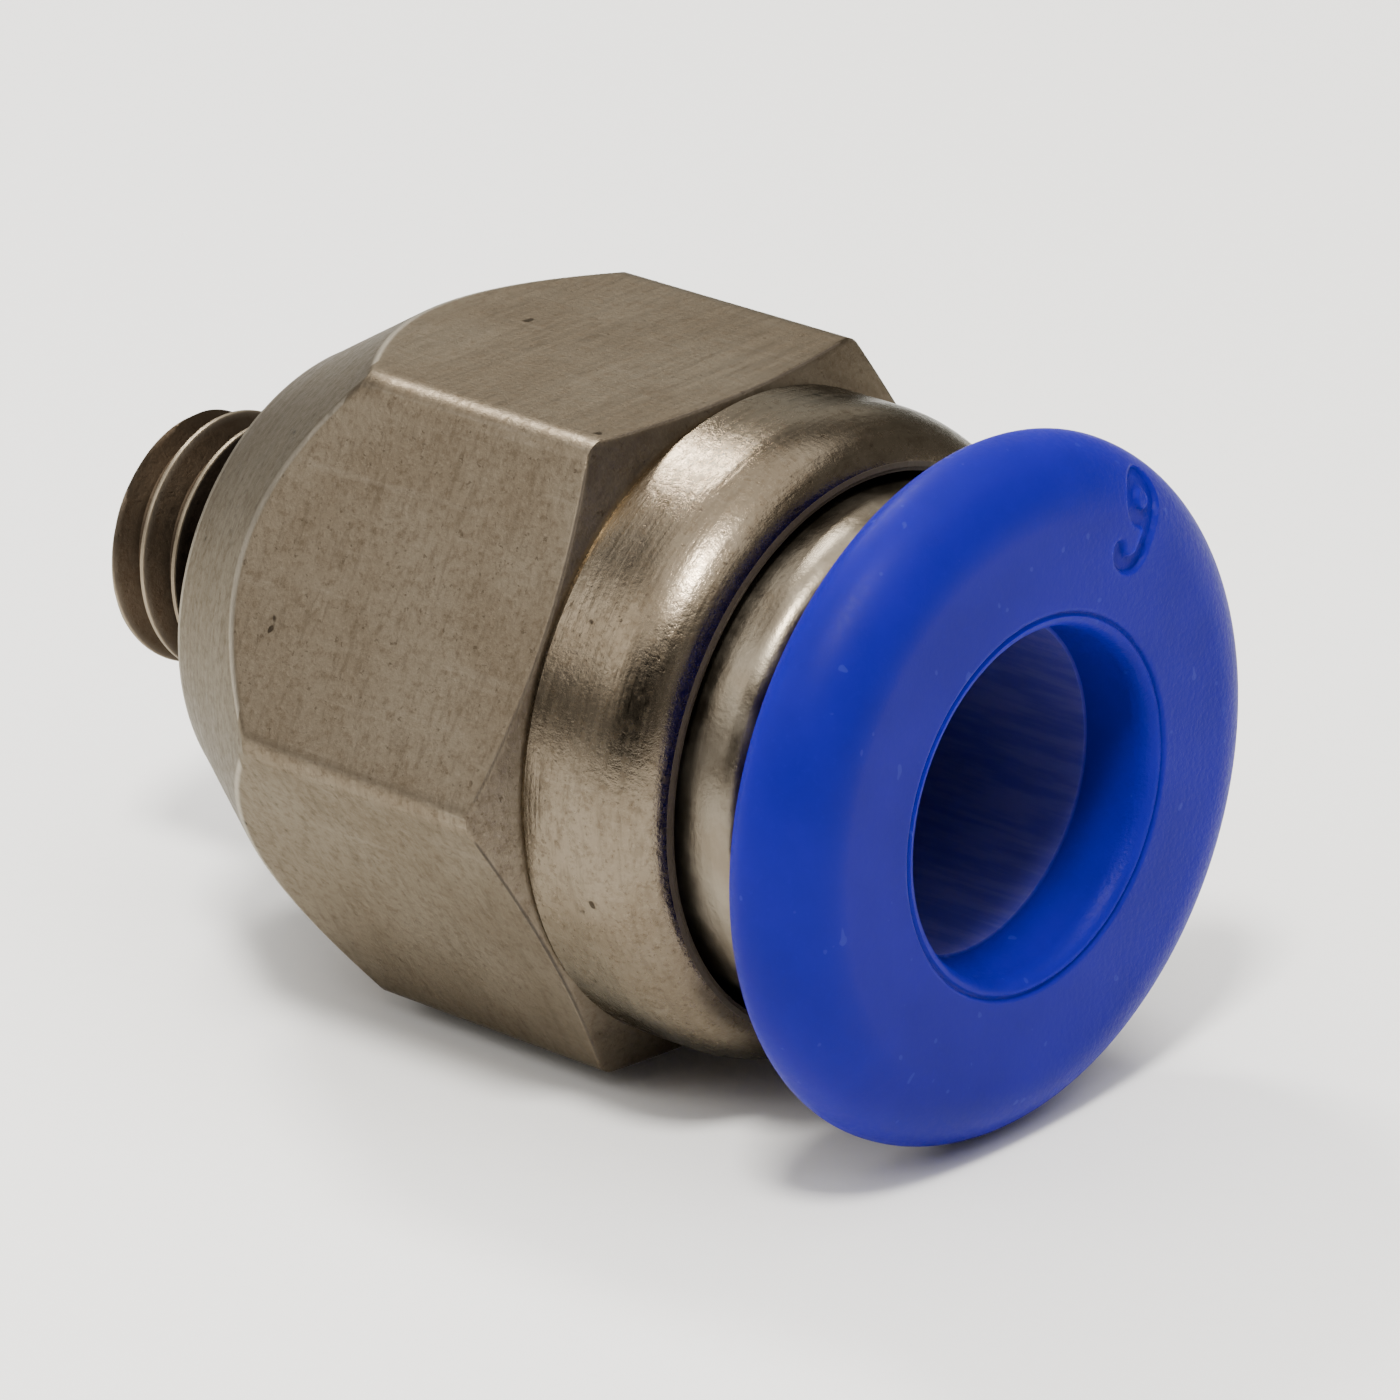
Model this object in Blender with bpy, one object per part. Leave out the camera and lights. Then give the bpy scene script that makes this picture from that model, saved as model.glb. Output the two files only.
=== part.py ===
"""Straight push to connect fitting: M5 stud, 12 mm hexagon, 6 mm tube socket.

The axis of the fitting is +X toward the tube mouth, with a hexagon flat on top.
"""

import math

import bmesh
import bpy

MM = 0.001
TURN = 2 * math.pi

# Positions along the axis, in millimetres from the middle of the overall length.
STUD_TIP_X = -10.25
SHOULDER_X = -6.15
HEX_FRONT_X = 3.15
BODY_RIM_X = 6.35
TUBE_STOP_X = -4.55
SEAL_CHAMBER_X = -1.45
GUIDE_SEAT_X = 2.43
GUIDE_FRONT_X = 7.40
COLLAR_BACK_X = 8.50
COLLAR_FACE_X = 10.25

# Hexagon body, in millimetres.
HEX_ACROSS_FLATS = 12.0
HEX_CORNER_R = 6.85
SHOULDER_R = 4.46
REAR_CONE_LENGTH = 3.95
FRONT_CONE_LENGTH = 0.43
BARREL_R = 5.95
BODY_RIM_R = 5.06
BARREL_EDGE_LENGTH = 1.45
RIM_OPENING_R = 5.03
RIM_OPENING_DEPTH = 0.60

# Stepped bore, in millimetres.
STUD_BORE_R = 1.25
TUBE_SEAT_R = 3.08
SEAL_CHAMBER_R = 4.42
GUIDE_BORE_R = 4.86

# M5 x 0.8 stud thread, in millimetres.
THREAD_PITCH = 0.8
THREAD_CREST_R = 2.46
THREAD_ROOT_R = 2.04
UNDERCUT_R = 2.0
UNDERCUT_LENGTH = 1.15
STUD_CHAMFER = 0.45
THREAD_ROWS_PER_PITCH = 5
THREAD_SIDES = 48

# Guide ring, in millimetres.
GUIDE_OUTER_R = 4.82
GUIDE_INNER_R = 4.06
GUIDE_LIP_R = 3.88
GUIDE_LIP_START_X = 3.85
GUIDE_LIP_END_X = 4.60
GUIDE_EDGE = 0.15

# Release collar, in millimetres.
COLLAR_R = 6.40
COLLAR_BORE_R = 3.08
COLLAR_MOUTH_R = 3.40
COLLAR_MOUTH_DEPTH = 0.50
COLLAR_DOME_LENGTH = 1.25
COLLAR_DOME_WIDTH = 1.35
COLLAR_BACK_EDGE_R = 0.48
SLEEVE_R = 3.80
BARB_R = 3.98
BARB_START_X = 3.45
BARB_END_X = 3.80
NOSE_X = 1.90
NOSE_R = 3.25
NOSE_NECK_R = 3.42

# Lock claw, in millimetres and degrees.
TOOTH_COUNT = 8
TOOTH_HINGE_X = 2.23
TOOTH_HINGE_R = 3.86
TOOTH_LENGTH = 1.327
TOOTH_THICKNESS = 0.20
TOOTH_SLOPE = 40.0
TOOTH_HALF_ANGLE = 19.0
TOOTH_START_ANGLE = 22.5
CLAW_BASE_X = 2.08
CLAW_BASE_THICKNESS = 0.30
CLAW_BASE_INNER_R = 3.99
CLAW_BASE_OUTER_R = 4.36

# Seals and backup ring, in millimetres.
TUBE_SEAL_X = -0.68
TUBE_SEAL_R = 3.66
TUBE_SEAL_SECTION_R = 0.72
STUD_SEAL_X = -6.66
STUD_SEAL_R = 2.52
STUD_SEAL_SECTION_R = 0.48
BACKUP_BACK_X = 0.08
BACKUP_POCKET_X = 0.65
BACKUP_FRONT_X = 2.05
BACKUP_OUTER_R = 4.38
BACKUP_INNER_R = 3.15
BACKUP_POCKET_R = 3.68
BACKUP_FRONT_R = 4.05

SIDES = 72


def clear_scene():
    for item in list(bpy.data.objects):
        bpy.data.objects.remove(item, do_unlink=True)


def add_material(item, name, colour, roughness, metallic):
    material = bpy.data.materials.new(name)
    material.use_nodes = True
    shader = material.node_tree.nodes["Principled BSDF"]
    shader.inputs["Base Color"].default_value = (*colour, 1.0)
    shader.inputs["Roughness"].default_value = roughness
    shader.inputs["Metallic"].default_value = metallic
    item.data.materials.clear()
    item.data.materials.append(material)


def add_object(name, shape, smooth=True):
    mesh = bpy.data.meshes.new(name)
    bmesh.ops.recalc_face_normals(shape, faces=shape.faces)
    shape.to_mesh(mesh)
    shape.free()
    for face in mesh.polygons:
        face.use_smooth = smooth
    mesh.set_sharp_from_angle(angle=math.radians(30))
    item = bpy.data.objects.new(name, mesh)
    bpy.context.scene.collection.objects.link(item)
    return item


def point(x, r, angle):
    return (x * MM, r * math.cos(angle) * MM, r * math.sin(angle) * MM)


def turned_shape(profile, sides=SIDES):
    """A closed profile of (x, r) turned about the axis. Points at r = 0 sit on the axis."""
    shape = bmesh.new()
    rings = []
    for x, r in profile:
        if r == 0:
            rings.append([shape.verts.new(point(x, 0, 0))] * sides)
        else:
            rings.append([shape.verts.new(point(x, r, TURN * i / sides)) for i in range(sides)])
    for first, second in zip(rings, rings[1:] + rings[:1]):
        for i in range(sides):
            j = (i + 1) % sides
            corners = list(dict.fromkeys((first[i], first[j], second[j], second[i])))
            if len(corners) > 2:
                shape.faces.new(corners)
    return shape


def arc(centre_x, centre_r, radius, start, end, steps):
    """Points along an arc in the (x, r) plane, with angles in degrees from +X."""
    points = []
    for i in range(steps + 1):
        angle = math.radians(start + (end - start) * i / steps)
        points.append((centre_x + radius * math.cos(angle), centre_r + radius * math.sin(angle)))
    return points


def rounded_edge(start_x, start_r, length, drop, steps):
    """A quarter of an ellipse that leaves along the axis and ends square to it."""
    points = []
    for i in range(1, steps + 1):
        angle = math.radians(90 * i / steps)
        points.append((start_x + length * math.sin(angle), start_r - drop * (1 - math.cos(angle))))
    return points


def hexagon_prism():
    shape = bmesh.new()
    corner_r = HEX_ACROSS_FLATS / math.sqrt(3)
    rings = []
    for x in (SHOULDER_X - 1, BODY_RIM_X + 1):
        rings.append([shape.verts.new(point(x, corner_r, TURN * i / 6)) for i in range(6)])
    for i in range(6):
        j = (i + 1) % 6
        shape.faces.new((rings[0][i], rings[0][j], rings[1][j], rings[1][i]))
    for ring in rings:
        shape.faces.new(ring)
    return shape


def thread_radius(row):
    """Crest, flank and root radii of the thread, by the row of the grid within one pitch."""
    step = row % THREAD_ROWS_PER_PITCH
    return THREAD_CREST_R if step in (0, 1) else THREAD_ROOT_R


def stud_envelope(x):
    chamfer = (x - STUD_TIP_X) / STUD_CHAMFER
    rise = UNDERCUT_R + (THREAD_CREST_R - UNDERCUT_R) * min(max(chamfer, 0), 1)
    run_out = (SHOULDER_X - UNDERCUT_LENGTH - x) / 0.2
    fall = UNDERCUT_R + (THREAD_CREST_R - UNDERCUT_R) * min(max(run_out, 0), 1)
    return min(rise, fall)


def stud_shape():
    """A grid that follows the helix, so that crests and roots are true edges."""
    end_x = SHOULDER_X - UNDERCUT_LENGTH
    height = THREAD_PITCH / THREAD_ROWS_PER_PITCH
    rows = int((end_x - STUD_TIP_X) / height) + 2 * THREAD_ROWS_PER_PITCH + 2
    shape = bmesh.new()
    grid = []
    for row in range(rows):
        ring = []
        for side in range(THREAD_SIDES):
            x = STUD_TIP_X + height * (row - THREAD_ROWS_PER_PITCH)
            x += THREAD_PITCH * side / THREAD_SIDES
            x = min(max(x, STUD_TIP_X), end_x)
            r = min(thread_radius(row), stud_envelope(x))
            ring.append(shape.verts.new(point(x, r, TURN * side / THREAD_SIDES)))
        grid.append(ring)
    for row in range(rows - 1 - THREAD_ROWS_PER_PITCH):
        for side in range(THREAD_SIDES):
            if side < THREAD_SIDES - 1:
                near, far = grid[row][side + 1], grid[row + 1][side + 1]
            else:
                near = grid[row + THREAD_ROWS_PER_PITCH][0]
                far = grid[row + 1 + THREAD_ROWS_PER_PITCH][0]
            shape.faces.new((grid[row][side], near, far, grid[row + 1][side]))
    bmesh.ops.remove_doubles(shape, verts=shape.verts, dist=1e-7)
    loose = [vert for vert in shape.verts if not vert.link_faces]
    bmesh.ops.delete(shape, geom=loose, context="VERTS")
    extend_stud(shape, end_x)
    return shape


def extend_stud(shape, end_x):
    """Closes the tip and runs the undercut on into the hexagon."""
    border = [edge for edge in shape.edges if edge.is_boundary]
    inner = [edge for edge in border if min(vert.co.x for vert in edge.verts) > (end_x - 0.01) * MM]
    tip = [edge for edge in border if edge not in inner]
    made = bmesh.ops.extrude_edge_only(shape, edges=inner)["geom"]
    moved = [item for item in made if isinstance(item, bmesh.types.BMVert)]
    for vert in moved:
        vert.co.x = (SHOULDER_X + 0.6) * MM
    inner = [item for item in made if isinstance(item, bmesh.types.BMEdge) and item.is_boundary]
    bmesh.ops.contextual_create(shape, geom=inner)
    bmesh.ops.contextual_create(shape, geom=tip)


def boolean(item, cutter, operation):
    cutter.hide_render = True
    cutter.display_type = "WIRE"
    modifier = item.modifiers.new(operation.title(), "BOOLEAN")
    modifier.operation = operation
    modifier.solver = "EXACT"
    modifier.object = cutter


def body_profile():
    barrel_end = BODY_RIM_X - BARREL_EDGE_LENGTH
    return [
        (SHOULDER_X, 0),
        (SHOULDER_X, SHOULDER_R),
        (SHOULDER_X + REAR_CONE_LENGTH, HEX_CORNER_R),
        (HEX_FRONT_X, HEX_CORNER_R),
        (HEX_FRONT_X + FRONT_CONE_LENGTH, BARREL_R),
        (barrel_end, BARREL_R),
        *rounded_edge(barrel_end, BARREL_R, BARREL_EDGE_LENGTH, BARREL_R - BODY_RIM_R, 8),
        (BODY_RIM_X, 0),
    ]


def bore_profile():
    return [
        (STUD_TIP_X - 1, 0),
        (STUD_TIP_X - 1, STUD_BORE_R),
        (TUBE_STOP_X, STUD_BORE_R),
        (TUBE_STOP_X, TUBE_SEAT_R),
        (SEAL_CHAMBER_X, TUBE_SEAT_R),
        (SEAL_CHAMBER_X, SEAL_CHAMBER_R),
        (GUIDE_SEAT_X, SEAL_CHAMBER_R),
        (GUIDE_SEAT_X, GUIDE_BORE_R),
        (BODY_RIM_X - RIM_OPENING_DEPTH, GUIDE_BORE_R),
        (BODY_RIM_X - RIM_OPENING_DEPTH + 0.2, RIM_OPENING_R),
        (BODY_RIM_X + 1, RIM_OPENING_R),
        (BODY_RIM_X + 1, 0),
    ]


def make_hex_body():
    body = add_object("hex_body", turned_shape(body_profile()))
    boolean(body, add_object("hexagon_limit", hexagon_prism(), smooth=False), "INTERSECT")
    boolean(body, add_object("stud_form", stud_shape()), "UNION")
    boolean(body, add_object("bore_form", turned_shape(bore_profile())), "DIFFERENCE")
    add_material(body, "nickel_plated_brass", (0.40, 0.36, 0.29), 0.32, 1.0)


def make_guide_ring():
    rear_x = GUIDE_SEAT_X + 0.03
    profile = [
        (rear_x, GUIDE_INNER_R),
        (rear_x, GUIDE_OUTER_R),
        (GUIDE_FRONT_X - GUIDE_EDGE, GUIDE_OUTER_R),
        (GUIDE_FRONT_X, GUIDE_OUTER_R - GUIDE_EDGE),
        (GUIDE_FRONT_X, GUIDE_INNER_R + GUIDE_EDGE),
        (GUIDE_FRONT_X - GUIDE_EDGE, GUIDE_INNER_R),
        (GUIDE_LIP_END_X + 0.18, GUIDE_INNER_R),
        (GUIDE_LIP_END_X, GUIDE_LIP_R),
        (GUIDE_LIP_START_X, GUIDE_LIP_R),
        (GUIDE_LIP_START_X, GUIDE_INNER_R),
    ]
    ring = add_object("guide_ring", turned_shape(profile))
    add_material(ring, "plated_guide_metal", (0.62, 0.61, 0.58), 0.28, 1.0)


def make_release_collar():
    edge = COLLAR_BACK_EDGE_R
    dome_x = COLLAR_FACE_X - COLLAR_DOME_LENGTH
    profile = [
        (NOSE_X, COLLAR_BORE_R),
        (NOSE_X, NOSE_R),
        (NOSE_X + 0.5, NOSE_NECK_R),
        (NOSE_X + 0.95, NOSE_NECK_R),
        (BARB_START_X - 0.05, SLEEVE_R),
        (BARB_START_X, SLEEVE_R),
        (BARB_START_X + 0.12, BARB_R),
        (BARB_END_X, BARB_R),
        (BARB_END_X, SLEEVE_R),
        (COLLAR_BACK_X - 0.2, SLEEVE_R),
        (COLLAR_BACK_X, SLEEVE_R + 0.2),
        *arc(COLLAR_BACK_X + edge, COLLAR_R - edge, edge, 180, 90, 6),
        *rounded_edge(dome_x, COLLAR_R, COLLAR_DOME_LENGTH, COLLAR_DOME_WIDTH, 10),
        (COLLAR_FACE_X, COLLAR_MOUTH_R + 0.12),
        (COLLAR_FACE_X - 0.08, COLLAR_MOUTH_R),
        (COLLAR_FACE_X - COLLAR_MOUTH_DEPTH, COLLAR_BORE_R),
    ]
    collar = add_object("release_collar", turned_shape(profile))
    add_material(collar, "blue_acetal", (0.012, 0.045, 0.34), 0.42, 0.0)


def make_claw_base():
    profile = [
        (CLAW_BASE_X, CLAW_BASE_INNER_R),
        (CLAW_BASE_X, CLAW_BASE_OUTER_R),
        (CLAW_BASE_X + CLAW_BASE_THICKNESS, CLAW_BASE_OUTER_R),
        (CLAW_BASE_X + CLAW_BASE_THICKNESS, CLAW_BASE_INNER_R),
    ]
    base = add_object("claw_base", turned_shape(profile))
    add_material(base, "stainless_claw", (0.55, 0.55, 0.54), 0.3, 1.0)


def tooth_profile():
    """Section of one tooth in the (x, r) plane, from the hinge inward and back."""
    slope = math.radians(TOOTH_SLOPE)
    along = (-math.cos(slope), -math.sin(slope))
    across = (-math.sin(slope), math.cos(slope))
    half = TOOTH_THICKNESS / 2
    corners = ((0, -half), (0, half), (TOOTH_LENGTH, half), (TOOTH_LENGTH, -half))
    points = []
    for length, offset in corners:
        x = TOOTH_HINGE_X + length * along[0] + offset * across[0]
        points.append((x, TOOTH_HINGE_R + length * along[1] + offset * across[1]))
    return points


def make_claw_tooth(number):
    middle = math.radians(TOOTH_START_ANGLE + 360 / TOOTH_COUNT * number)
    half = math.radians(TOOTH_HALF_ANGLE)
    hinge = point(TOOTH_HINGE_X, TOOTH_HINGE_R, middle)
    shape = bmesh.new()
    rings = []
    for i in range(7):
        angle = middle - half + 2 * half * i / 6
        rings.append([shape.verts.new(point(x, r, angle)) for x, r in tooth_profile()])
    for first, second in zip(rings, rings[1:]):
        for i in range(4):
            j = (i + 1) % 4
            shape.faces.new((first[i], first[j], second[j], second[i]))
    shape.faces.new(rings[0])
    shape.faces.new(rings[-1])
    bmesh.ops.translate(shape, verts=shape.verts, vec=[-value for value in hinge])
    tooth = add_object(f"claw_tooth_{number + 1}", shape)
    tooth.location = hinge
    add_material(tooth, f"stainless_tooth_{number + 1}", (0.58, 0.58, 0.57), 0.25, 1.0)


def make_backup_ring():
    profile = [
        (BACKUP_BACK_X, BACKUP_INNER_R),
        (BACKUP_BACK_X, BACKUP_OUTER_R),
        (BACKUP_FRONT_X, BACKUP_OUTER_R),
        (BACKUP_FRONT_X, BACKUP_FRONT_R),
        (BACKUP_POCKET_X, BACKUP_POCKET_R),
        (BACKUP_POCKET_X, BACKUP_INNER_R),
    ]
    ring = add_object("backup_ring", turned_shape(profile))
    add_material(ring, "natural_acetal", (0.72, 0.70, 0.64), 0.45, 0.0)


def make_seal(name, centre_x, ring_r, section_r, colour):
    section = arc(centre_x, ring_r, section_r, 360, 30, 11)
    seal = add_object(name, turned_shape(section, 48))
    add_material(seal, name + "_rubber", colour, 0.6, 0.0)


def main():
    clear_scene()
    make_hex_body()
    make_guide_ring()
    make_release_collar()
    make_claw_base()
    for number in range(TOOTH_COUNT):
        make_claw_tooth(number)
    make_backup_ring()
    make_seal("tube_seal", TUBE_SEAL_X, TUBE_SEAL_R, TUBE_SEAL_SECTION_R, (0.02, 0.02, 0.02))
    make_seal("stud_seal", STUD_SEAL_X, STUD_SEAL_R, STUD_SEAL_SECTION_R, (0.015, 0.015, 0.015))


main()
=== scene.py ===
import math

import bmesh
import bpy
import numpy as np
from mathutils import Matrix, Vector


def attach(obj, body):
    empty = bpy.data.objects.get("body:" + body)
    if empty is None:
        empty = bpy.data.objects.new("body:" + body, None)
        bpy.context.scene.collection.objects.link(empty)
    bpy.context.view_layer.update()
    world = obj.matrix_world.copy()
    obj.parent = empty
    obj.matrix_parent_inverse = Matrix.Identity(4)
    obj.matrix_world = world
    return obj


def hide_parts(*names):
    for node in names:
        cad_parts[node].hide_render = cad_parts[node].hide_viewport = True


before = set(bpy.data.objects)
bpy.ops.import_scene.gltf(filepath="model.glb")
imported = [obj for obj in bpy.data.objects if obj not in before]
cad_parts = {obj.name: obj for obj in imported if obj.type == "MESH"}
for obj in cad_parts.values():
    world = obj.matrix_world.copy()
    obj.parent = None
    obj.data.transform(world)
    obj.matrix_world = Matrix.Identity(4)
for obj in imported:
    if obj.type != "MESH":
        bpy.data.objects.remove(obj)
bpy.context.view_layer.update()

MM = 0.001
TURN = 2 * math.pi

# Positions along the axis, in millimetres from the middle of the fitting.
STUD_TIP_X = -10.25
SHOULDER_X = -6.15
HEX_FRONT_X = 3.15
BODY_RIM_X = 6.35
TUBE_STOP_X = -4.55
SEAL_CHAMBER_X = -1.45
GUIDE_SEAT_X = 2.43
GUIDE_FRONT_X = 7.40
COLLAR_BACK_X = 8.50
COLLAR_FACE_X = 10.25

# Hexagon body, in millimetres.
FLAT_R = 6.0
CORNER_R = 6.85
SHOULDER_R = 4.46
SHOULDER_EDGE = 0.07
REAR_CONE_LENGTH = 3.95
FRONT_CONE_LENGTH = 0.43
BARREL_R = 5.95
BODY_RIM_R = 5.06
RIM_OPENING_R = 5.03
GUIDE_BORE_R = 4.86
SEAL_CHAMBER_R = 4.42
TUBE_R = 3.08
GUIDE_R = 4.82
GUIDE_INNER_R = 4.06
GUIDE_RELIEF_R = 3.88
BARREL_EDGE_LENGTH = 1.45
EDGE_BLEND = 0.075
BODY_SIDES = 540
BORE_SIDES = 180

# Stud, in millimetres.
STUD_BORE_R = 1.25
CREST_R = 2.46
ROOT_R = 2.03
UNDERCUT_R = 2.0
UNDERCUT_LENGTH = 1.15
STUD_CHAMFER = 0.42
THREAD_PITCH = 0.8
THREAD_CREST = 0.07
THREAD_FLANK = 0.29
THREAD_FADE = 0.25
THREAD_ROWS_PER_PITCH = 20

# Collar, in millimetres.
COLLAR_R = 6.40
COLLAR_MOUTH_R = 3.42
COLLAR_BORE_R = 3.08
COLLAR_DOME_LENGTH = 1.25
COLLAR_DOME_WIDTH = 1.35
MOUTH_LAND = 1.45
SLEEVE_R = 3.80
BARB_R = 3.98
BARB_END_X = 3.80
NOSE_X = 1.90
NOSE_R = 3.25
NOSE_NECK_R = 3.42

# Size numeral on the collar, in millimetres and degrees.
NUMERAL_R = 5.20
NUMERAL_ANGLE = 58.0
NUMERAL_LOOP_R = 0.33
NUMERAL_RISE = 0.42
NUMERAL_STROKE = 0.155
NUMERAL_DEPTH = 0.10
HOOK_END = -155

# Camera, in degrees and millimetres.
CAMERA_AZIMUTH = 41.86
CAMERA_ELEVATION = 22.89
CAMERA_ROLL = -0.92
CAMERA_DISTANCE = 158.16
CAMERA_LENS = 228.6
CAMERA_SENSOR = 36
CAMERA_TARGET = (2.34, 0.14, -0.17)

# Room light. The dark side is an azimuth and elevation, and its edge and core are cosines from it.
DARK_SIDE = (14, 20)
DARK_SIDE_EDGE = 0.89
DARK_SIDE_CORE = 0.965
WORLD_LEVEL = 0.36
WORLD_DARK = 0.0

FLOOR_HALF = 1.5
FLOOR_GAP = 0.02
NICKEL_EDGE_TINT = (0.55, 0.56, 0.54, 1.0)


class Shell:
    """A mesh built as rings of points in millimetres.

    Each point has a value for edge wear and painted shade, and a mark that says whether it lies on
    the tube bore.
    """

    def __init__(self):
        self.points = []
        self.wear_and_shade = []
        self.faces = []
        self.count = 0

    def ring(self, points, wear_and_shade=0.0):
        points = np.asarray(points, float)
        self.points.append(points)
        self.wear_and_shade.append(np.broadcast_to(wear_and_shade, len(points)))
        start = self.count
        self.count += len(points)
        return np.arange(start, self.count)

    def circle(self, x, r, angles, wear_and_shade=0.0):
        r = np.broadcast_to(r, angles.shape)
        along = np.full(angles.shape, x)
        return self.ring(np.stack([along, r * np.cos(angles), r * np.sin(angles)], 1), wear_and_shade)

    def bridge(self, first, second):
        """Joins two rings. One ring may have three times the points of the other."""
        if len(first) == len(second):
            a, b = np.roll(first, -1), np.roll(second, -1)
            self.faces += np.stack([first, a, b, second], 1).tolist()
            return
        coarse, fine = (first, second) if len(first) < len(second) else (second, first)
        turned = coarse is second
        for i, here in enumerate(coarse):
            there = coarse[(i + 1) % len(coarse)]
            k = [fine[(3 * i + j) % len(fine)] for j in range(4)]
            for face in ((here, k[1], k[0]), (here, there, k[2], k[1]), (there, k[3], k[2])):
                self.faces.append([int(v) for v in (reversed(face) if turned else face)])

    def chain(self, rings, closed=False):
        pairs = list(zip(rings, rings[1:]))
        if closed:
            pairs.append((rings[-1], rings[0]))
        for first, second in pairs:
            self.bridge(first, second)

    def make(self, name, sharp):
        points = np.concatenate(self.points) * MM
        mesh = bpy.data.meshes.new(name)
        mesh.from_pydata(points.tolist(), [], self.faces)
        wear_and_shade = mesh.attributes.new("wear_and_shade", "FLOAT", "POINT")
        wear_and_shade.data.foreach_set("value", np.concatenate(self.wear_and_shade).astype(np.float32))
        bore = mesh.attributes.new("bore", "FLOAT", "POINT")
        radius = np.hypot(points[:, 1], points[:, 2]) / MM
        bore.data.foreach_set("value", (radius < COLLAR_BORE_R + 0.1).astype(np.float32))
        shape = bmesh.new()
        shape.from_mesh(mesh)
        bmesh.ops.remove_doubles(shape, verts=shape.verts, dist=2e-8)
        bmesh.ops.recalc_face_normals(shape, faces=shape.faces)
        shape.to_mesh(mesh)
        shape.free()
        mesh.shade_smooth()
        mesh.set_sharp_from_angle(angle=math.radians(sharp))
        item = bpy.data.objects.new(name, mesh)
        bpy.context.scene.collection.objects.link(item)
        return item


def angles_for(sides):
    return TURN * np.arange(sides) / sides


def quarter(start, end, steps, first="r"):
    """Points of a quarter ellipse between two (x, r) points, without the first point.

    It leaves along r or along x.
    """
    (x0, r0), (x1, r1) = start, end
    points = []
    for i in range(1, steps + 1):
        t = math.radians(90 * i / steps)
        if first == "r":
            points.append((x0 + (x1 - x0) * (1 - math.cos(t)), r0 + (r1 - r0) * math.sin(t)))
        else:
            points.append((x0 + (x1 - x0) * math.sin(t), r0 + (r1 - r0) * (1 - math.cos(t))))
    return points


def line(start, end, steps):
    """Evenly spaced (x, r) points from start to end, without the first point."""
    points = []
    for i in range(1, steps + 1):
        points.append(tuple(start[k] + (end[k] - start[k]) * i / steps for k in (0, 1)))
    return points


def soft_min(a, b, width):
    """The smaller of two radii, rounded over where they meet."""
    near = np.maximum(width - np.abs(a - b), 0) / width
    return np.minimum(a, b) - near * near * width / 4


# ---------------------------------------------------------------- hexagon body


def body_envelope():
    """The turned outline, from the shoulder face to the bottom of the rim opening."""
    edge = SHOULDER_EDGE
    shoulder = (SHOULDER_X, SHOULDER_R - edge)
    points = [(SHOULDER_X, 2.15), (SHOULDER_X, 3.3), shoulder]
    slope = (CORNER_R - SHOULDER_R) / REAR_CONE_LENGTH
    cone_end = (SHOULDER_X + REAR_CONE_LENGTH, CORNER_R)
    points += quarter(shoulder, (SHOULDER_X + edge, SHOULDER_R + slope * edge), 5)
    points += line(points[-1], cone_end, 80)
    points += line(points[-1], (HEX_FRONT_X - 0.3, CORNER_R), 8)
    points += line(points[-1], (HEX_FRONT_X, CORNER_R), 5)
    barrel = (HEX_FRONT_X + FRONT_CONE_LENGTH, BARREL_R)
    points += line(points[-1], (barrel[0] - 0.02, barrel[1] - 0.07), 20)
    points += line(points[-1], (barrel[0] + 0.05, BARREL_R - 0.06), 2)
    points += line(points[-1], (barrel[0] + 0.10, BARREL_R), 2)
    barrel_end = (BODY_RIM_X - BARREL_EDGE_LENGTH, BARREL_R)
    points += line(points[-1], barrel_end, 6)
    edge_arc = quarter(barrel_end, (BODY_RIM_X, BODY_RIM_R - 0.12), 40, first="x")
    points += [point for point in edge_arc if point[1] > BODY_RIM_R + 0.02]
    points += quarter(points[-1], (BODY_RIM_X - 0.03, RIM_OPENING_R), 4, first="x")
    points += [(BODY_RIM_X - 0.10, RIM_OPENING_R), (BODY_RIM_X - 0.45, RIM_OPENING_R)]
    return points


def bore_outline():
    """The bore, from the rim opening back to the tip of the stud."""
    return [
        (BODY_RIM_X - 0.60, GUIDE_BORE_R),
        (GUIDE_SEAT_X, GUIDE_BORE_R),
        (GUIDE_SEAT_X, SEAL_CHAMBER_R),
        (SEAL_CHAMBER_X, SEAL_CHAMBER_R),
        (SEAL_CHAMBER_X, TUBE_R + 0.04),
        (SEAL_CHAMBER_X - 0.06, TUBE_R),
        (TUBE_STOP_X, TUBE_R),
        (TUBE_STOP_X, STUD_BORE_R + 0.08),
        (TUBE_STOP_X - 0.08, STUD_BORE_R),
        (STUD_TIP_X + 0.18, STUD_BORE_R),
        (STUD_TIP_X + 0.02, STUD_BORE_R + 0.15),
        (STUD_TIP_X, STUD_BORE_R + 0.19),
        (STUD_TIP_X, UNDERCUT_R - 0.05),
    ]


def thread_depth(height):
    """Radius of the thread along one pitch: a narrow crest, straight flanks, a flat root."""
    phase = height % THREAD_PITCH
    gap = min(phase, THREAD_PITCH - phase) - THREAD_CREST / 2
    share = min(max(gap / THREAD_FLANK, 0), 1)
    return CREST_R - (CREST_R - ROOT_R) * share


def stud_envelope(x, end_x):
    """The largest radius at x, after the chamfer at the tip and the fade into the undercut."""
    rise = min(max((x - STUD_TIP_X) / STUD_CHAMFER, 0), 1)
    fall = min(max((end_x - x) / THREAD_FADE, 0), 1)
    return UNDERCUT_R + (CREST_R - UNDERCUT_R) * min(rise, fall)


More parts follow.
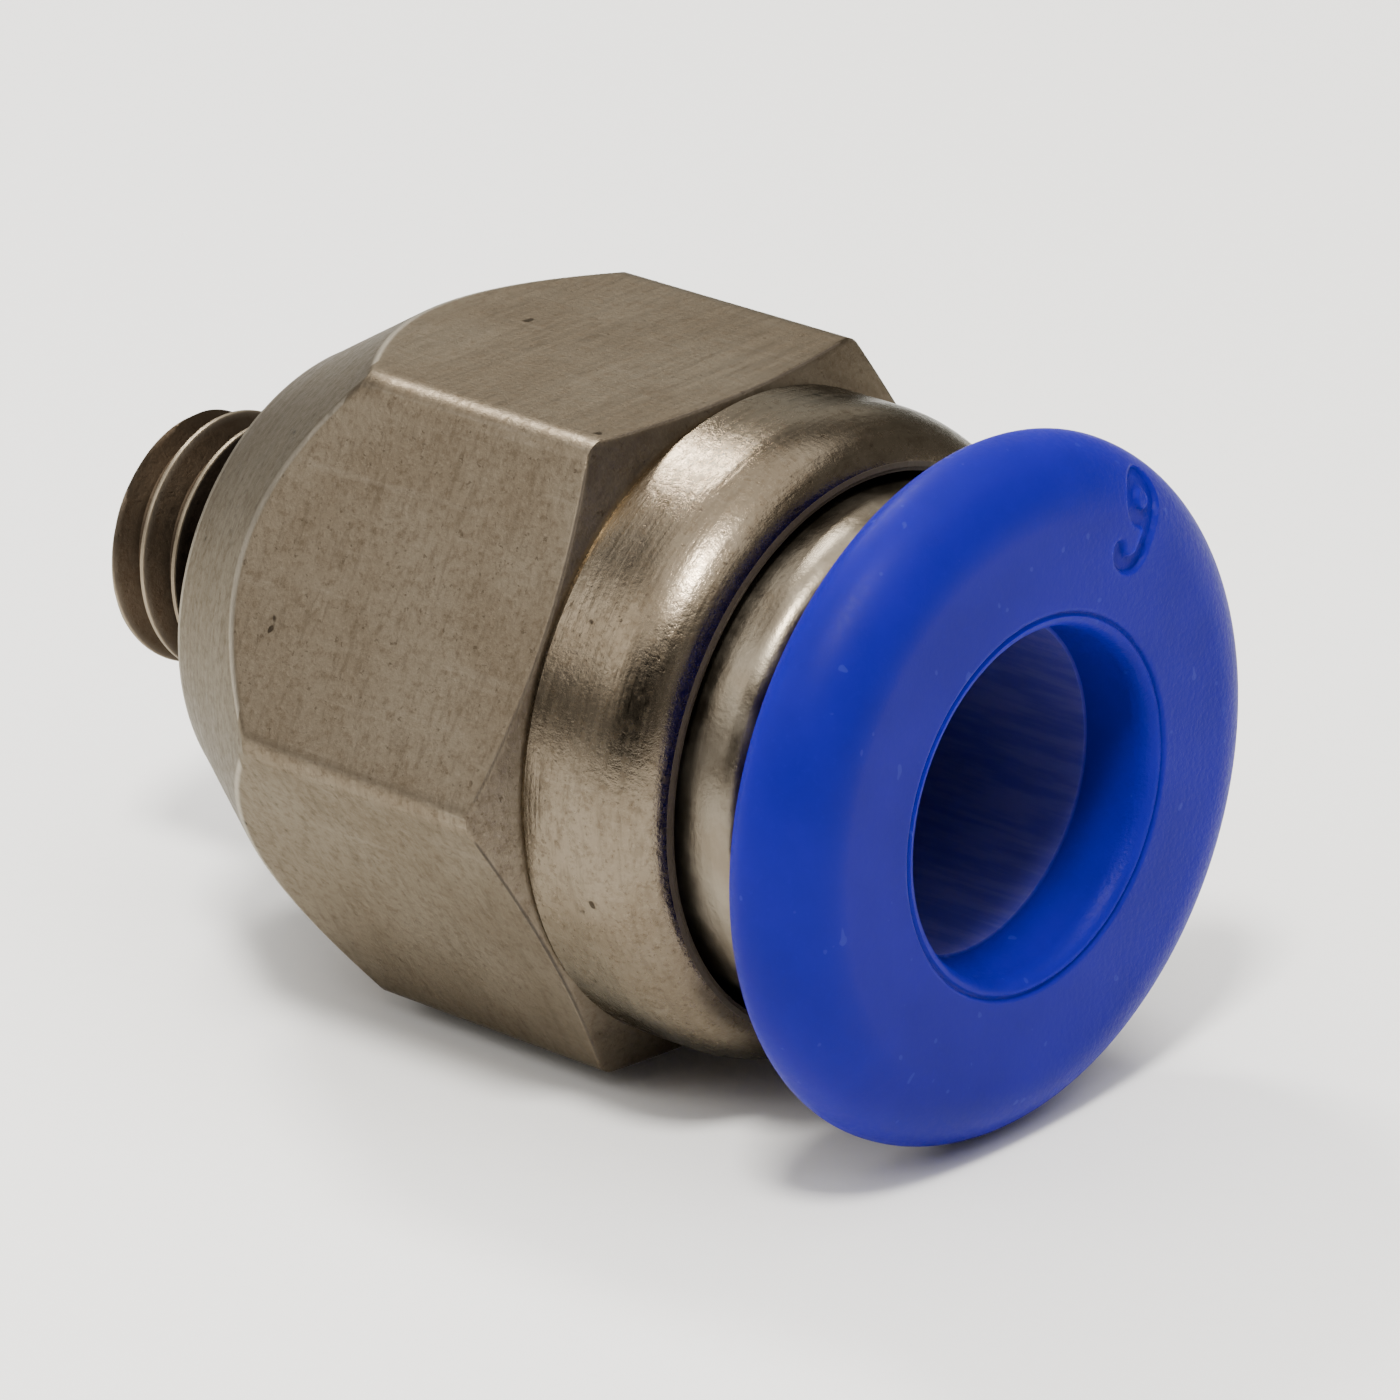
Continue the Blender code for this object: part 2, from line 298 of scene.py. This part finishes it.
def thread_rings(shell):
    """Rows of the helical thread; each row climbs one pitch in a turn."""
    end_x = SHOULDER_X - UNDERCUT_LENGTH
    step = THREAD_PITCH / THREAD_ROWS_PER_PITCH
    rows = int((end_x - STUD_TIP_X) / step) + THREAD_ROWS_PER_PITCH + 4
    angles = angles_for(BORE_SIDES)
    rings = []
    for row in range(-THREAD_ROWS_PER_PITCH - 2, rows):
        points = []
        wear_and_shade = []
        for i, angle in enumerate(angles):
            x = STUD_TIP_X + step * row + THREAD_PITCH * i / BORE_SIDES
            height = step * row
            x = min(max(x, STUD_TIP_X), end_x)
            r = min(thread_depth(height), stud_envelope(x, end_x))
            points.append((x, r * math.cos(angle), r * math.sin(angle)))
            wear_and_shade.append(min(max((r - ROOT_R) / (CREST_R - ROOT_R), 0), 1) ** 3)
        rings.append(shell.ring(points, wear_and_shade))
    return rings


def bridge_thread(shell, rings):
    """Joins the rows. The end of each row meets the start of the row one pitch further on."""
    last = BORE_SIDES - 1
    shift = THREAD_ROWS_PER_PITCH
    for row in range(len(rings) - 1 - shift):
        a, b = rings[row], rings[row + 1]
        for i in range(last):
            shell.faces.append([int(a[i]), int(a[i + 1]), int(b[i + 1]), int(b[i])])
        c, d = rings[row + shift], rings[row + shift + 1]
        shell.faces.append([int(a[last]), int(c[0]), int(d[0]), int(b[last])])


def edge_wear_and_shade(x, r, hexagon):
    """Positive where an edge is rubbed bright; negative where a line of painted shade goes, along
    the hex front edges and round the rim opening beside the guide ring.
    """
    near = np.exp(-(((hexagon - r) / 0.07) ** 2))
    if x > HEX_FRONT_X + 0.6:
        # Painted shade: the rim opening beside the guide ring is marked -1, for near-black paint.
        return 0 * hexagon - float(r < BODY_RIM_R + 0.12)
    if x > HEX_FRONT_X - 0.5:
        # Painted shade: a dark line along the hex front edges is marked -0.8; only the corners are
        # rubbed bright.
        at_corner = np.clip((hexagon - 6.70) / 0.2, 0, 1)
        return near * (1.5 * at_corner - 0.8)
    if abs(r - SHOULDER_R) < 0.1:
        return 0 * hexagon + 0.8
    ridge = x > SHOULDER_X + REAR_CONE_LENGTH - 0.25
    return (0.42 if ridge else 1.0) * near


def make_body():
    shell = Shell()
    fine, coarse = angles_for(BODY_SIDES), angles_for(BORE_SIDES)
    off_flat = np.radians((np.degrees(fine) % 60) - 30)
    hexagon = FLAT_R / np.cos(off_flat)
    outer = []
    for x, r in body_envelope():
        radius = soft_min(hexagon, r, EDGE_BLEND)
        wear_and_shade = edge_wear_and_shade(x, r, hexagon)
        outer.append(shell.circle(x, radius, fine, wear_and_shade))
    shell.chain(outer)
    bore = [shell.circle(x, r, coarse) for x, r in bore_outline()]
    shell.bridge(outer[-1], bore[0])
    shell.chain(bore)
    tip = shell.circle(STUD_TIP_X, UNDERCUT_R, coarse)
    shell.bridge(bore[-1], tip)
    bridge_thread(shell, thread_rings(shell))
    end_x = SHOULDER_X - UNDERCUT_LENGTH
    neck_outline = [
        (end_x, UNDERCUT_R),
        (SHOULDER_X - 0.10, UNDERCUT_R),
        (SHOULDER_X - 0.03, UNDERCUT_R + 0.03),
        (SHOULDER_X, UNDERCUT_R + 0.1),
    ]
    neck = [shell.circle(x, r, coarse) for x, r in neck_outline]
    shell.chain(neck)
    shell.bridge(neck[-1], outer[0])
    return shell.make("body_shell", 40)


# ------------------------------------------------------- guide ring and collar


def guide_outline():
    front = GUIDE_FRONT_X
    rear = GUIDE_SEAT_X + 0.03
    inner, relief = GUIDE_INNER_R, GUIDE_RELIEF_R
    outline = [(rear, inner + 0.04), (rear, GUIDE_R - 0.06), (rear + 0.06, GUIDE_R)]
    outline += line(outline[-1], (front - 0.45, GUIDE_R), 6)
    outline += quarter(outline[-1], (front, GUIDE_R - 0.32), 10, first="x")
    outline += line(outline[-1], (front, 4.22), 2)
    outline += quarter(outline[-1], (front - 0.15, inner), 5, first="r")
    outline += [(4.78, inner), (4.60, relief), (3.85, relief), (3.85, inner), (rear + 0.05, inner)]
    return outline


def make_guide():
    shell = Shell()
    angles = angles_for(256)
    shell.chain([shell.circle(x, r, angles) for x, r in guide_outline()], closed=True)
    return shell.make("guide_sleeve", 40)


def collar_outline():
    """The collar from its nose, out round the flange, and back in through the mouth."""
    face = COLLAR_FACE_X
    widest = (face - COLLAR_DOME_LENGTH, COLLAR_R)
    outline = [
        (NOSE_X, 3.10),
        (NOSE_X, NOSE_R),
        (2.40, NOSE_NECK_R),
        (2.85, NOSE_NECK_R),
        (3.40, SLEEVE_R),
        (3.45, SLEEVE_R),
        (3.57, BARB_R),
        (BARB_END_X, BARB_R),
        (BARB_END_X, SLEEVE_R),
        (COLLAR_BACK_X - 0.2, SLEEVE_R),
        (COLLAR_BACK_X, SLEEVE_R + 0.2),
    ]
    outline += line(outline[-1], (COLLAR_BACK_X, COLLAR_R - 0.55), 4)
    outline += quarter(outline[-1], (widest[0], COLLAR_R), 12, first="r")
    outline += quarter(outline[-1], (face, COLLAR_R - COLLAR_DOME_WIDTH), 44, first="x")
    outline += line(outline[-1], (face, COLLAR_MOUTH_R + 0.10), 44)
    outline += [
        (face - 0.015, COLLAR_MOUTH_R + 0.07),
        (face - 0.065, COLLAR_MOUTH_R + 0.04),
        (face - 0.065, COLLAR_MOUTH_R),
        (face - 0.02, COLLAR_MOUTH_R - 0.04),
    ]
    outline += quarter(outline[-1], (face - 0.45, COLLAR_BORE_R + 0.06), 14, first="r")
    outline += line(outline[-1], (face - MOUTH_LAND, COLLAR_BORE_R + 0.03), 6)
    outline += [(face - MOUTH_LAND - 0.03, COLLAR_BORE_R - 0.03)]
    outline += line(outline[-1], (2.0, COLLAR_BORE_R - 0.03), 12)
    return outline


def collar_angles():
    """Directions round the collar, closer together across the numeral."""
    middle, half = NUMERAL_ANGLE, 11.0
    inside = np.linspace(middle - half, middle + half, 74)
    outside = np.linspace(middle + half, middle + 360 - half, 190)[1:-1]
    return np.radians(np.concatenate([inside, outside]))


def stroke_distance(u, v):
    """Distance in millimetres from the centre line of the numeral: a loop, a stem and a hook."""
    loop = np.abs(np.hypot(u, v - NUMERAL_RISE) - NUMERAL_LOOP_R)
    stem = np.hypot(u - NUMERAL_LOOP_R, v - np.clip(v, -NUMERAL_RISE, NUMERAL_RISE))
    hook_angle = np.degrees(np.arctan2(v + NUMERAL_RISE, u))
    on_hook = (hook_angle < 0) & (hook_angle > HOOK_END)
    hook = np.where(on_hook, np.abs(np.hypot(u, v + NUMERAL_RISE) - NUMERAL_LOOP_R), 9.0)
    end = math.radians(HOOK_END)
    tip_u = NUMERAL_LOOP_R * math.cos(end)
    tip_v = NUMERAL_LOOP_R * math.sin(end) - NUMERAL_RISE
    tip = np.hypot(u - tip_u, v - tip_v)
    return np.minimum.reduce([loop, stem, hook, tip])


def numeral_depth(y, z):
    """How deep the numeral is pressed at a place on the collar's face."""
    middle = math.radians(NUMERAL_ANGLE)
    v = y * math.cos(middle) + z * math.sin(middle) - NUMERAL_R
    u = y * math.sin(middle) - z * math.cos(middle)
    share = np.clip((NUMERAL_STROKE + 0.03 - stroke_distance(u, v)) / 0.06, 0, 1)
    return NUMERAL_DEPTH * share * share * (3 - 2 * share)


def make_collar():
    shell = Shell()
    angles = collar_angles()
    rings = []
    for x, r in collar_outline():
        y, z = r * np.cos(angles), r * np.sin(angles)
        depth = numeral_depth(y, z) if x > COLLAR_FACE_X - 0.9 and r > 4 else 0 * y
        rings.append(shell.ring(np.stack([x - depth, y, z], 1)))
    shell.chain(rings, closed=True)
    return shell.make("push_collar", 50)


# ------------------------------------------------------------------- materials


class Paint:
    """Builds one material's node tree."""

    def __init__(self, name):
        self.material = bpy.data.materials.new(name)
        self.material.use_nodes = True
        self.tree = self.material.node_tree
        self.shader = self.tree.nodes["Principled BSDF"]
        coords = self.tree.nodes.new("ShaderNodeTexCoord")
        self.place = coords.outputs["Object"]

    def node(self, kind, **settings):
        made = self.tree.nodes.new(kind)
        for key, value in settings.items():
            setattr(made, key, value)
        return made

    def feed(self, socket, value):
        if hasattr(value, "is_output"):
            self.tree.links.new(value, socket)
        else:
            socket.default_value = value

    def stretched(self, x, y, z):
        mapping = self.node("ShaderNodeMapping")
        self.feed(mapping.inputs["Vector"], self.place)
        mapping.inputs["Scale"].default_value = (x, y, z)
        return mapping.outputs["Vector"]

    def noise(self, per_mm, detail, roughness, vector=None):
        made = self.node("ShaderNodeTexNoise")
        self.feed(made.inputs["Vector"], vector or self.place)
        made.inputs["Scale"].default_value = per_mm / MM if vector is None else per_mm
        made.inputs["Detail"].default_value = detail
        made.inputs["Roughness"].default_value = roughness
        return made.outputs["Fac"]

    def ramp(self, value, low, high, start=0.0, end=1.0):
        made = self.node("ShaderNodeMapRange", interpolation_type="SMOOTHSTEP")
        self.feed(made.inputs["Value"], value)
        made.inputs["From Min"].default_value = low
        made.inputs["From Max"].default_value = high
        made.inputs["To Min"].default_value = start
        made.inputs["To Max"].default_value = end
        return made.outputs["Result"]

    def math(self, operation, a, b):
        made = self.node("ShaderNodeMath", operation=operation)
        self.feed(made.inputs[0], a)
        self.feed(made.inputs[1], b)
        return made.outputs[0]

    def mix(self, share, first, second):
        made = self.node("ShaderNodeMix", data_type="RGBA")
        self.feed(made.inputs["Factor"], share)
        self.feed(made.inputs["A"], (*first, 1.0) if isinstance(first, tuple) else first)
        self.feed(made.inputs["B"], (*second, 1.0) if isinstance(second, tuple) else second)
        return made.outputs["Result"]

    def share(self, value, most):
        return self.math("MULTIPLY", value, most)

    def attribute(self, name):
        return self.node("ShaderNodeAttribute", attribute_name=name).outputs["Fac"]

    def axis(self, letter):
        made = self.node("ShaderNodeSeparateXYZ")
        self.feed(made.inputs[0], self.place)
        return made.outputs[letter]

    def bump(self, heights):
        """Bumps in a row. Each entry is a height, its distance in millimetres and its strength."""
        normal = None
        for height, distance, strength in heights:
            made = self.node("ShaderNodeBump")
            made.inputs["Strength"].default_value = strength
            made.inputs["Distance"].default_value = distance * MM
            self.feed(made.inputs["Height"], height)
            if normal:
                self.feed(made.inputs["Normal"], normal)
            normal = made.outputs["Normal"]
        self.feed(self.shader.inputs["Normal"], normal)

    def surface(self, colour, roughness, metallic):
        self.feed(self.shader.inputs["Base Color"], colour)
        self.feed(self.shader.inputs["Roughness"], roughness)
        self.shader.inputs["Metallic"].default_value = metallic


def nickel_paint():
    """Nickel plate over turned and milled brass: warm grey, mottled, pitted and scored."""
    paint = Paint("nickel_plate")
    wear_and_shade = paint.attribute("wear_and_shade")
    along = paint.axis("X")
    turned = paint.ramp(along, (HEX_FRONT_X + 0.35) * MM, (HEX_FRONT_X + 0.5) * MM)
    stud = paint.ramp(along, (SHOULDER_X - 0.02) * MM, (SHOULDER_X + 0.02) * MM, 1.0, 0.0)
    blotch = paint.noise(0.45, 4.0, 0.6)
    mottle = paint.noise(6.0, 5.0, 0.7)
    rings = paint.noise(1.0, 3.0, 0.55, paint.stretched(9000, 300, 300))
    milled = paint.noise(1.0, 3.0, 0.6, paint.stretched(260, 5200, 5200))
    ticks = paint.noise(1.0, 3.0, 0.6, paint.stretched(7000, 1500, 1500))
    grain = paint.noise(14.0, 3.0, 0.65)
    pits = paint.ramp(paint.noise(6.5, 3.0, 0.6), 0.62, 0.72)
    specks = paint.ramp(paint.noise(1.5, 2.0, 0.5), 0.745, 0.765)
    colour = paint.mix(paint.ramp(blotch, 0.35, 0.68), (0.138, 0.110, 0.077), (0.166, 0.137, 0.100))
    stain = paint.share(paint.ramp(mottle, 0.46, 0.70), 0.6)
    colour = paint.mix(stain, colour, (0.084, 0.061, 0.039))
    bright_grain = paint.share(paint.ramp(grain, 0.50, 0.72), 0.45)
    colour = paint.mix(bright_grain, colour, (0.195, 0.162, 0.120))
    milled_lines = paint.share(paint.ramp(milled, 0.58, 0.74), 0.20)
    colour = paint.mix(milled_lines, colour, (0.24, 0.205, 0.160))
    dark_ticks = paint.share(paint.ramp(ticks, 0.50, 0.68), 0.30)
    colour = paint.mix(dark_ticks, colour, (0.070, 0.052, 0.034))
    colour = paint.mix(paint.share(pits, 0.6), colour, (0.060, 0.044, 0.029))
    colour = paint.mix(paint.share(specks, 0.85), colour, (0.022, 0.016, 0.011))
    rubbed = paint.share(paint.ramp(wear_and_shade, 0.3, 1.0), 0.6)
    colour = paint.mix(rubbed, colour, (0.46, 0.42, 0.35))
    # Painted shade: where the wear-and-shade value is negative the plate is painted near black, and
    # further down it is made less metallic and rougher.
    painted_shade = paint.ramp(wear_and_shade, -0.35, -0.85)
    colour = paint.mix(paint.share(painted_shade, 0.85), colour, (0.020, 0.014, 0.010))
    # The whole stud is painted darker brown: painted shade for the shaded thread, together with oil
    # in it.
    colour = paint.mix(paint.share(stud, 0.70), colour, (0.040, 0.024, 0.014))
    # Painted shade: the undercut and the last crests next to the shoulder are painted near black.
    root = paint.ramp(along, (SHOULDER_X - 2.75) * MM, (SHOULDER_X - 2.4) * MM)
    painted_undercut_shade = paint.share(paint.math("MULTIPLY", stud, root), 0.85)
    colour = paint.mix(painted_undercut_shade, colour, (0.008, 0.006, 0.005))
    crest = paint.math("MULTIPLY", stud, paint.ramp(wear_and_shade, 0.75, 0.95))
    colour = paint.mix(paint.share(crest, 0.55), colour, (0.34, 0.28, 0.20))
    rough = paint.ramp(mottle, 0.3, 0.75, 0.38, 0.50)
    rough = paint.math("ADD", rough, paint.ramp(rings, 0.3, 0.7, -0.04, 0.04))
    rough = paint.math("SUBTRACT", rough, paint.share(turned, 0.19))
    rough = paint.math("ADD", rough, paint.share(painted_shade, 0.3))
    paint.surface(colour, rough, 1.0)
    # Painted shade also takes away the metal look there.
    unshaded_metallic = paint.math("SUBTRACT", 1.0, paint.share(painted_shade, 0.85))
    paint.feed(paint.shader.inputs["Metallic"], unshaded_metallic)
    paint.shader.inputs["Specular Tint"].default_value = NICKEL_EDGE_TINT
    paint.bump([
        (paint.math("MULTIPLY", rings, turned), 0.014, 0.55),
        (milled, 0.005, 0.25),
        (mottle, 0.014, 0.5),
        (grain, 0.007, 0.6),
        (pits, -0.005, 0.4),
    ])
    return paint.material


def guide_paint():
    """Bright plated guide ring, with turning lines and light scuffs."""
    paint = Paint("plated_guide")
    blotch = paint.noise(1.1, 4.0, 0.6)
    scores = paint.noise(1.0, 2.0, 0.5, paint.stretched(14000, 260, 260))
    grain = paint.noise(10.0, 3.0, 0.6)
    colour = paint.mix(paint.ramp(blotch, 0.35, 0.7), (0.150, 0.124, 0.091), (0.205, 0.177, 0.136))
    colour = paint.mix(paint.ramp(grain, 0.62, 0.75, 0.0, 0.5), colour, (0.14, 0.115, 0.085))
    paint.surface(colour, paint.ramp(blotch, 0.3, 0.7, 0.28, 0.40), 1.0)
    paint.shader.inputs["Specular Tint"].default_value = NICKEL_EDGE_TINT
    paint.bump([(scores, 0.006, 0.4), (grain, 0.010, 0.6), (blotch, 0.03, 0.4)])
    return paint.material


def collar_paint():
    """Moulded blue acetal: satin, slightly translucent, with spark texture on part of the face and
    a painted sheen in the bore.
    """
    paint = Paint("blue_acetal_moulded")
    cloud = paint.noise(0.35, 3.0, 0.5)
    grain = paint.noise(9.0, 3.0, 0.65)
    fine = paint.noise(26.0, 2.0, 0.6)
    dust = paint.ramp(paint.noise(3.4, 1.0, 0.4), 0.735, 0.765)
    side = paint.ramp(paint.axis("Y"), -0.5 * MM, 2.6 * MM, 0.12, 1.0)
    rim_start, rim_end = (COLLAR_FACE_X - 0.7) * MM, (COLLAR_FACE_X - 0.15) * MM
    on_face = paint.ramp(paint.axis("X"), rim_start, rim_end, 0.1, 1.0)
    spark = paint.math("MULTIPLY", paint.math("MULTIPLY", grain, side), on_face)
    colour = paint.mix(paint.ramp(cloud, 0.3, 0.7), (0.006, 0.003, 0.175), (0.008, 0.004, 0.212))
    bright_grain = paint.share(paint.ramp(grain, 0.55, 0.75), 0.25)
    colour = paint.mix(bright_grain, colour, (0.010, 0.007, 0.24))
    colour = paint.mix(paint.share(dust, 0.2), colour, (0.05, 0.07, 0.34))
    # Painted reflection: past the mouth land the bore wall is painted a lighter greyish blue, in
    # streaks along the axis, as a sheen.
    streaks = paint.noise(1.0, 3.0, 0.6, paint.stretched(500, 4200, 4200))
    land_end = (COLLAR_FACE_X - MOUTH_LAND) * MM
    deep = paint.ramp(paint.axis("X"), land_end - 0.05 * MM, land_end, 1.0, 0.0)
    inside = paint.math("MULTIPLY", deep, paint.ramp(streaks, 0.35, 0.65, 0.45, 0.75))
    inside = paint.math("MULTIPLY", inside, paint.attribute("bore"))
    colour = paint.mix(inside, colour, (0.075, 0.070, 0.250))
    paint.surface(colour, paint.ramp(grain, 0.3, 0.7, 0.40, 0.50), 0.0)
    paint.shader.inputs["Subsurface Weight"].default_value = 0.6
    paint.shader.inputs["Subsurface Radius"].default_value = (0.10, 0.2, 1.0)
    paint.shader.inputs["Subsurface Scale"].default_value = 0.0012
    paint.shader.inputs["Specular IOR Level"].default_value = 0.06
    paint.bump([(spark, 0.035, 0.55), (fine, 0.004, 0.35), (cloud, 0.05, 0.15)])
    return paint.material


def rubber_paint(name):
    paint = Paint(name)
    bloom = paint.noise(1.6, 4.0, 0.6)
    grain = paint.noise(22.0, 3.0, 0.6)
    colour = paint.mix(paint.ramp(bloom, 0.35, 0.75), (0.012, 0.012, 0.013), (0.035, 0.034, 0.033))
    paint.surface(colour, paint.ramp(grain, 0.3, 0.7, 0.42, 0.62), 0.0)
    paint.bump([(grain, 0.004, 0.5), (bloom, 0.01, 0.2)])
    return paint.material


def spring_steel_paint():
    paint = Paint("stamped_stainless")
    roll = paint.noise(1.0, 2.0, 0.5, paint.stretched(2200, 2200, 16000))
    stain = paint.noise(2.4, 3.0, 0.6)
    colour = paint.mix(paint.ramp(stain, 0.35, 0.7), (0.52, 0.51, 0.49), (0.66, 0.65, 0.63))
    paint.surface(colour, paint.ramp(roll, 0.3, 0.7, 0.22, 0.36), 1.0)
    paint.bump([(roll, 0.003, 0.5), (stain, 0.004, 0.2)])
    return paint.material


def natural_acetal_paint():
    paint = Paint("natural_acetal_moulded")
    cloud = paint.noise(1.2, 3.0, 0.5)
    grain = paint.noise(16.0, 3.0, 0.6)
    colour = paint.mix(paint.ramp(cloud, 0.3, 0.7), (0.66, 0.63, 0.56), (0.76, 0.74, 0.68))
    paint.surface(colour, paint.ramp(grain, 0.3, 0.7, 0.38, 0.5), 0.0)
    paint.bump([(grain, 0.004, 0.4), (cloud, 0.02, 0.15)])
    return paint.material


def floor_paint():
    paint = Paint("pale_card")
    fibre = paint.noise(2.5, 4.0, 0.6)
    colour = paint.mix(fibre, (0.90, 0.90, 0.897), (0.93, 0.93, 0.927))
    paint.surface(colour, 0.7, 0.0)
    paint.bump([(fibre, 0.004, 0.2)])
    return paint.material


def paint_object(item, material):
    item.data.materials.clear()
    item.data.materials.append(material)


def make_pieces():
    pieces = (
        (make_body(), nickel_paint(), "body", "hex_body", "nickel_plated_brass"),
        (make_guide(), guide_paint(), "body", "guide_ring", "plated_guide_metal"),
        (make_collar(), collar_paint(), "collar", "release_collar", "blue_acetal"),
    )
    for item, material, body, node, slot in pieces:
        paint_object(item, material)
        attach(item, body)
        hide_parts(node)


def paint_inner_nodes():
    steel = spring_steel_paint()
    for name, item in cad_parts.items():
        if name.startswith("claw_"):
            paint_object(item, steel)
    paint_object(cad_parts["backup_ring"], natural_acetal_paint())
    paint_object(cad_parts["tube_seal"], rubber_paint("tube_seal_rubber"))
    paint_object(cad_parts["stud_seal"], rubber_paint("stud_seal_rubber"))


# ------------------------------------------------------------------------ stage


def make_floor():
    half = FLOOR_HALF
    level = -(COLLAR_R + FLOOR_GAP) * MM
    mesh = bpy.data.meshes.new("floor")
    square = ((-half, -half), (half, -half), (half, half), (-half, half))
    corners = [(x, y, level) for x, y in square]
    mesh.from_pydata(corners, [], [(0, 1, 2, 3)])
    floor = bpy.data.objects.new("floor", mesh)
    bpy.context.scene.collection.objects.link(floor)
    paint_object(floor, floor_paint())


def facing(azimuth, elevation):
    """Unit vector from the object toward an azimuth and elevation, both in degrees."""
    a, e = math.radians(azimuth), math.radians(elevation)
    return Vector((math.sin(a) * math.cos(e), -math.cos(a) * math.cos(e), math.sin(e)))


def add_light(name, azimuth, elevation, distance, width, height, power, colour=(1, 1, 1)):
    light = bpy.data.lights.new(name, "AREA")
    light.shape = "RECTANGLE"
    light.size = width * MM
    light.size_y = height * MM
    light.energy = power
    light.color = colour
    item = bpy.data.objects.new(name, light)
    item.location = facing(azimuth, elevation) * distance * MM
    item.rotation_euler = item.location.to_track_quat("Z", "Y").to_euler()
    bpy.context.scene.collection.objects.link(item)


def make_world():
    """An even room with one darker side."""
    world = bpy.data.worlds.new("studio")
    world.use_nodes = True
    tree = world.node_tree
    background = tree.nodes["Background"]
    background.inputs["Color"].default_value = (1.0, 0.965, 0.91, 1.0)
    coords = tree.nodes.new("ShaderNodeTexCoord")
    toward = tree.nodes.new("ShaderNodeVectorMath")
    toward.operation = "DOT_PRODUCT"
    toward.inputs[1].default_value = facing(*DARK_SIDE)
    tree.links.new(coords.outputs["Generated"], toward.inputs[0])
    fade = tree.nodes.new("ShaderNodeMapRange")
    fade.interpolation_type = "SMOOTHSTEP"
    fade.inputs["From Min"].default_value = DARK_SIDE_EDGE
    fade.inputs["From Max"].default_value = DARK_SIDE_CORE
    fade.inputs["To Min"].default_value = WORLD_LEVEL
    fade.inputs["To Max"].default_value = WORLD_DARK
    tree.links.new(toward.outputs["Value"], fade.inputs["Value"])
    tree.links.new(fade.outputs["Result"], background.inputs["Strength"])
    bpy.context.scene.world = world


def make_lights():
    add_light("key_softbox", -34, 34, 260, 150, 110, 0.17, (1.0, 0.97, 0.92))
    add_light("top_softbox", 40, 82, 300, 460, 460, 1.45, (1.0, 0.98, 0.95))
    add_light("small_lamp", 33.5, 63.3, 260, 44, 44, 0.95, (1.0, 0.97, 0.91))
    add_light("side_lamp", -113, 49, 260, 60, 36, 0.50, (1.0, 0.97, 0.92))
    add_light("back_softbox", -138, 24, 300, 200, 110, 0.07)
    make_world()


def make_camera():
    camera = bpy.data.cameras.new("camera")
    camera.lens = CAMERA_LENS
    camera.sensor_width = CAMERA_SENSOR
    camera.clip_start = 0.005
    camera.clip_end = 10
    item = bpy.data.objects.new("camera", camera)
    back = facing(CAMERA_AZIMUTH, CAMERA_ELEVATION)
    target = Vector(CAMERA_TARGET) * MM
    roll = Matrix.Rotation(math.radians(CAMERA_ROLL), 3, "Z")
    turn = back.to_track_quat("Z", "Y").to_matrix() @ roll
    item.matrix_world = Matrix.Translation(target + back * CAMERA_DISTANCE * MM) @ turn.to_4x4()
    bpy.context.scene.collection.objects.link(item)
    bpy.context.scene.camera = item


make_pieces()
paint_inner_nodes()
make_floor()
make_lights()
make_camera()
